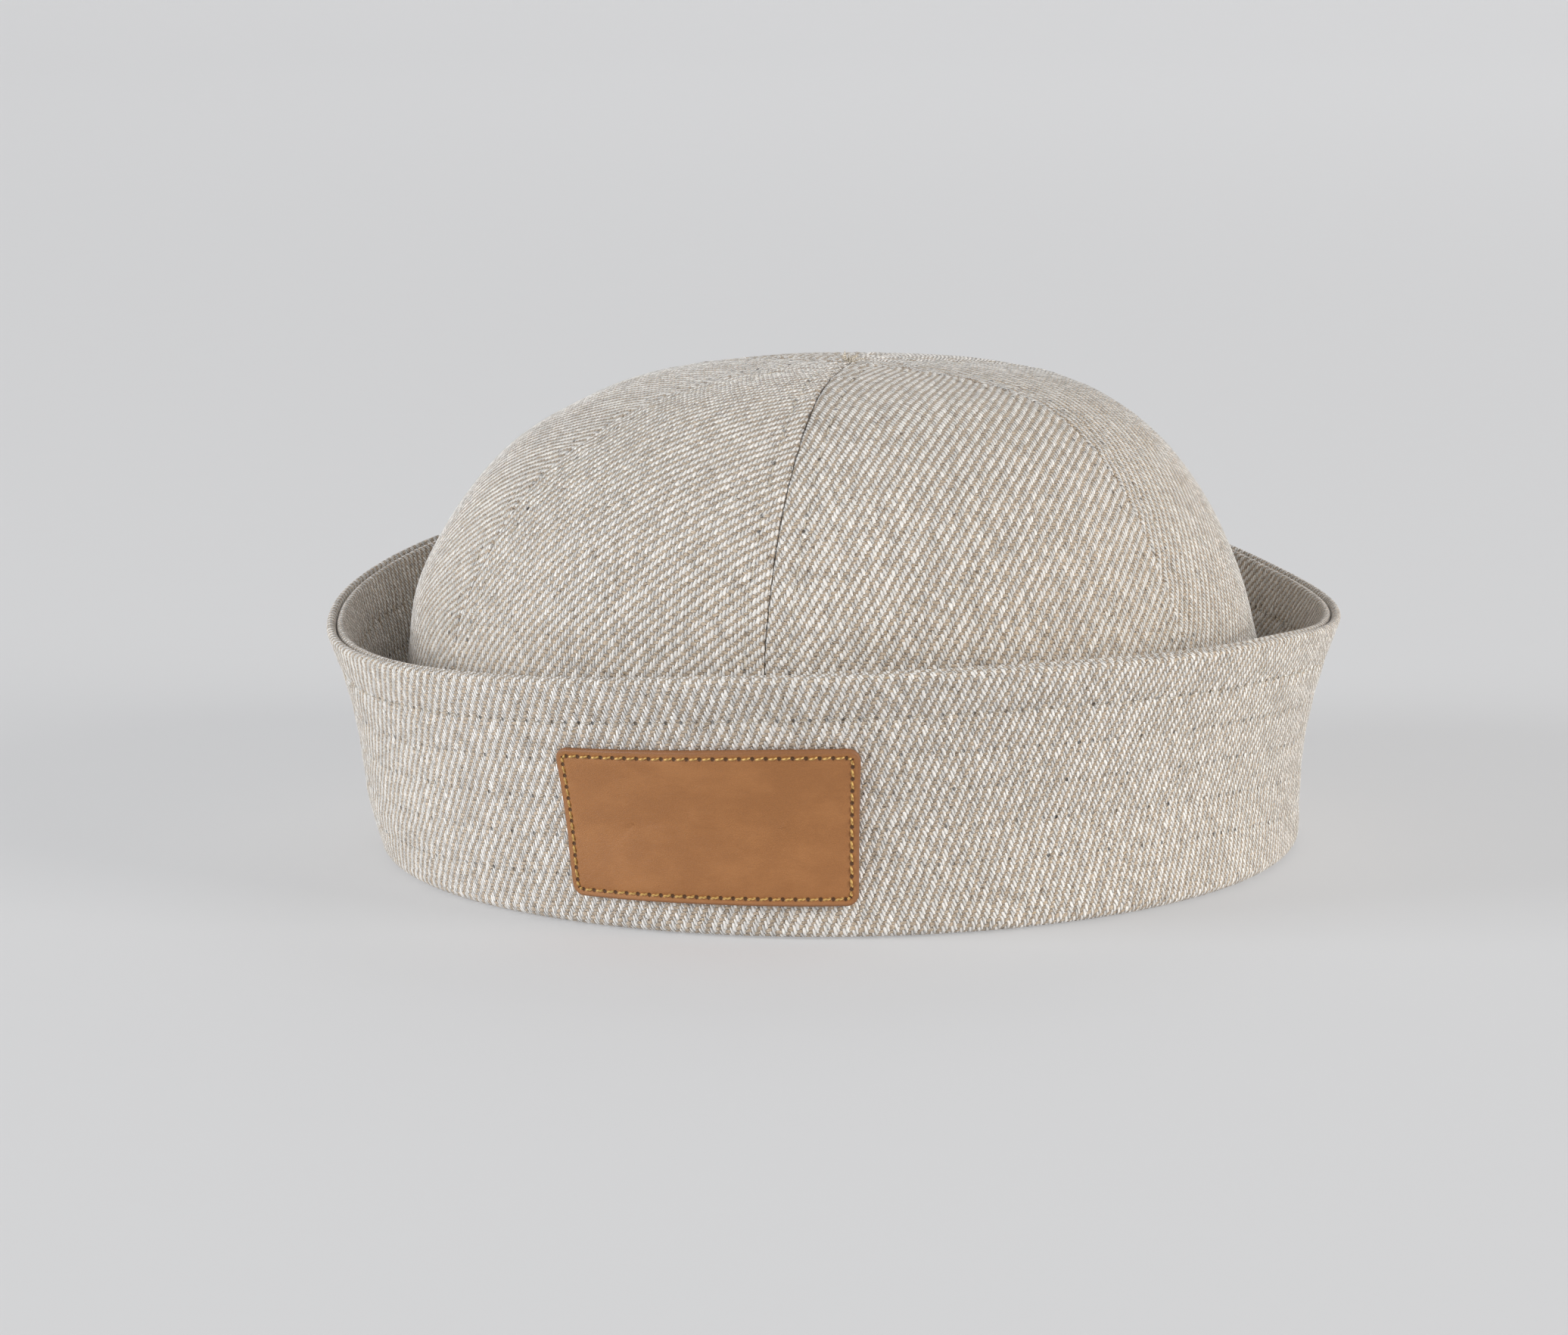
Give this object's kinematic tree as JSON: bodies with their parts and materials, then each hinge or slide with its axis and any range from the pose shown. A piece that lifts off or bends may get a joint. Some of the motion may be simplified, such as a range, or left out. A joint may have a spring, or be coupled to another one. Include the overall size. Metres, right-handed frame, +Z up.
{
  "type": "sailor hat",
  "caption": "Brimless sailor hat with a round crown of sewn panels, a flared turned-up cuff of two cloth layers and a stitched leather patch on the front.",
  "frame": {"origin": "middle of the hat's bounding box, on the surface that the fold of the cuff stands on", "axes": "+Z up, -Y to the front where the wearer looks, +X to the wearer's left, which is the picture's right"},
  "size_m": [0.2094, 0.2372, 0.1],
  "materials": {
    "cloth": "coarse linen twill, cream warp over taupe weft, matte",
    "leather": "smooth tan leather, matte to satin, cut edge",
    "thread": "waxed sewing thread, satin"
  },
  "bodies": {
    "root": {"crown_panel_front_right": "cloth", "crown_panel_right": "cloth", "crown_panel_back_right": "cloth", "crown_panel_back_left": "cloth", "crown_panel_left": "cloth", "crown_panel_front_left": "cloth", "cuff_outer_layer": "cloth", "cuff_inner_layer": "cloth", "leather_patch": "leather"}
  },
  "joints": []
}
